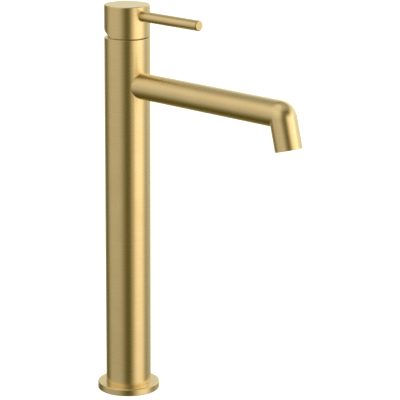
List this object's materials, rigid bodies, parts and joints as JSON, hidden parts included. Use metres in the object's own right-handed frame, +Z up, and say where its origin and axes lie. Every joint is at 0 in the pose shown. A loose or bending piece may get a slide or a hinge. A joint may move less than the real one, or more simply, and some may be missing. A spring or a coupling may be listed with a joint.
{
  "type": "basin mixer tap",
  "caption": "Tall column mixer tap for a countertop basin, with a long straight spout, a turned-down nozzle, a round foot flange and a pin lever on a cylindrical cap.",
  "frame": {"origin": "on the column's axis, in the plane that the foot stands on", "axes": "+Z up along the column; -Y towards the spout's outlet and the lever; -X is the hot side"},
  "size_m": [0.055, 0.2298, 0.348],
  "materials": {
    "satin_gold": "brushed satin, gold coloured",
    "plain_brass": "turned",
    "copper_tube": "drawn tube",
    "steel": "turned",
    "black_rubber": "moulded",
    "white_plastic": "moulded",
    "grey_plastic": "moulded",
    "red_plastic": "moulded",
    "white_ceramic": "lapped"
  },
  "bodies": {
    "tap_body": {"column": "satin_gold", "base_flange": "satin_gold", "base_gasket": "black_rubber", "foot_plug": "plain_brass", "hot_riser_pipe": "copper_tube", "cold_riser_pipe": "copper_tube", "riser_orings": "black_rubber", "valve_housing": "plain_brass", "spout": "satin_gold", "spout_nipple": "plain_brass", "nipple_orings": "black_rubber", "spout_grub_screw": "steel", "aerator_housing": "grey_plastic", "aerator_screen": "white_plastic", "aerator_core": "white_plastic", "aerator_seal": "black_rubber", "retaining_nut": "plain_brass", "bonnet": "satin_gold", "hot_stop_ring": "red_plastic", "cartridge_shell": "grey_plastic", "cartridge_base": "white_plastic", "cartridge_seals": "black_rubber", "disc_seals": "black_rubber", "fixed_disc": "white_ceramic"},
    "rotor": {"rotor": "white_plastic", "stem_pin": "steel"},
    "disc_carrier": {"disc_carrier": "grey_plastic", "moving_disc": "white_ceramic"},
    "handle": {"stem": "steel", "stem_adapter": "white_plastic", "handle_cap": "satin_gold", "lever_rod": "satin_gold", "handle_set_screw": "steel", "set_screw_plug": "grey_plastic"}
  },
  "joints": [
    {"name": "temperature", "type": "hinge", "parent": "tap_body", "child": "rotor", "pos_m": [0, 0, 0.3146], "axis": [0, 0, 1], "range_deg": [-50, 50]},
    {"name": "lift", "type": "hinge", "parent": "rotor", "child": "handle", "pos_m": [0, 0, 0.3146], "axis": [-1, 0, 0], "range_deg": [0, 25]},
    {"name": "disc_slide", "type": "slide", "parent": "rotor", "child": "disc_carrier", "axis": [0, -1, 0], "range_m": [0, 0.00381]}
  ],
  "couplings": [
    {"joint": "disc_slide", "follows": "lift", "m_per_rad": 0.0087171}
  ]
}
